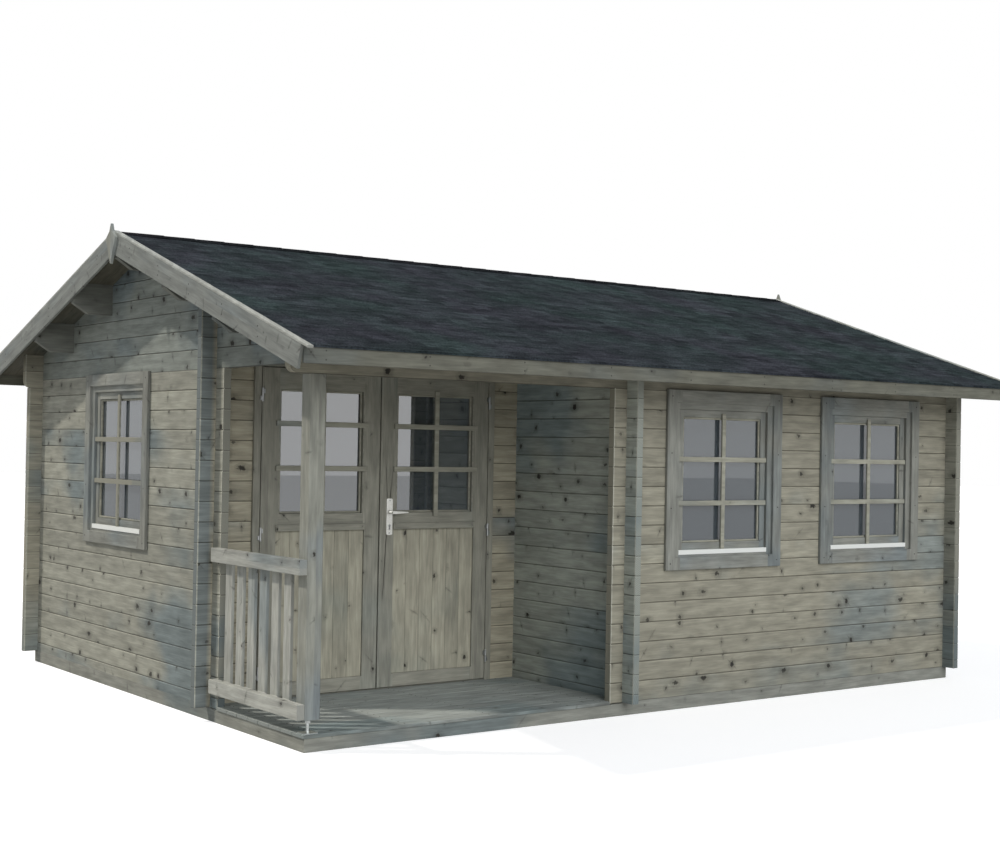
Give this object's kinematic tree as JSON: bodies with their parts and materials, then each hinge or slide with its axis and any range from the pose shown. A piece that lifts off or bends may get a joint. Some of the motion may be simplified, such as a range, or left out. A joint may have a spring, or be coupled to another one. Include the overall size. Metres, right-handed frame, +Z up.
{
  "type": "log summer house",
  "caption": "Log summer house with interlocked corners, a shingled gable roof and a corner porch with a glazed double door that opens outwards.",
  "frame": {"origin": "ground level under the middle of the house, which is the middle of the roof on plan", "axes": "+X along the front wall from the porch end to the far gable, +Y from the front wall to the rear wall, +Z up"},
  "size_m": [5.682, 4.688, 2.8301],
  "materials": {
    "treated_bearers": "sawn, weathered grey",
    "floor_boards": "planed boards",
    "deck_boards": "planed boards, weathered grey",
    "weathered_logs": "planed logs, grey stain with dark knots",
    "planed_timber": "planed, grey stain",
    "roof_boards": "planed boards, grey stain",
    "roof_shingles": "mineral-faced bitumen",
    "joinery": "planed joinery, grey stain",
    "door_panels": "planed boards, grey stain over warm wood",
    "window_glass": "clear float glass",
    "white_metal": "white powder coat",
    "hinge_steel": "zinc plated",
    "handle_metal": "satin anodised",
    "galvanised_steel": "galvanised"
  },
  "bodies": {
    "house": {"bearers": "treated_bearers", "floor_joists": "treated_bearers", "room_floor": "floor_boards", "porch_deck": "deck_boards", "front_wall": "weathered_logs", "rear_wall": "weathered_logs", "front_plate_logs": "weathered_logs", "rear_plate_logs": "weathered_logs", "left_gable_wall": "weathered_logs", "left_gable_top": "weathered_logs", "right_gable_wall": "weathered_logs", "porch_side_wall": "weathered_logs", "door_wall_left": "weathered_logs", "door_wall_right": "weathered_logs", "door_wall_top": "weathered_logs", "purlin_front_outer": "planed_timber", "purlin_front_inner": "planed_timber", "purlin_ridge": "planed_timber", "purlin_rear_inner": "planed_timber", "purlin_rear_outer": "planed_timber", "roof_boards_front": "roof_boards", "roof_boards_rear": "roof_boards", "roof_cover_front": "roof_shingles", "roof_cover_rear": "roof_shingles", "fascia_front": "planed_timber", "fascia_rear": "planed_timber", "barge_boards_front": "planed_timber", "barge_boards_rear": "planed_timber", "barge_caps_front": "planed_timber", "barge_caps_rear": "planed_timber", "finials": "planed_timber", "first_window_frame": "joinery", "second_window_frame": "joinery", "gable_window_frame": "joinery", "first_window_sash": "joinery", "second_window_sash": "joinery", "gable_window_sash": "joinery", "window_glass": "window_glass", "window_sills": "white_metal", "door_frame": "joinery", "frame_hinges": "hinge_steel", "corner_post": "planed_timber", "post_foot": "galvanised_steel", "balustrade": "planed_timber"},
    "left_leaf": {"left_door_leaf": "joinery", "left_door_panel": "door_panels", "left_door_glass": "window_glass", "left_leaf_hinges": "hinge_steel"},
    "right_leaf": {"right_door_leaf": "joinery", "right_door_panel": "door_panels", "right_door_glass": "window_glass", "right_leaf_hinges": "hinge_steel", "handle_plates": "handle_metal"},
    "lever": {"door_lever": "handle_metal"}
  },
  "joints": [
    {"name": "left_leaf_hinge", "type": "hinge", "parent": "house", "child": "left_leaf", "pos_m": [-2.271, -0.867, 1], "axis": [0, 0, -1], "range_deg": [0, 95]},
    {"name": "right_leaf_hinge", "type": "hinge", "parent": "house", "child": "right_leaf", "pos_m": [-0.68, -0.867, 1], "axis": [0, 0, 1], "range_deg": [0, 95]},
    {"name": "lever_turn", "type": "hinge", "parent": "right_leaf", "child": "lever", "pos_m": [-1.4045, -0.858, 1.147], "axis": [0, 1, 0], "range_deg": [0, 35], "stiffness_Nm_per_rad": 1.5, "springref_deg": -28.65}
  ]
}
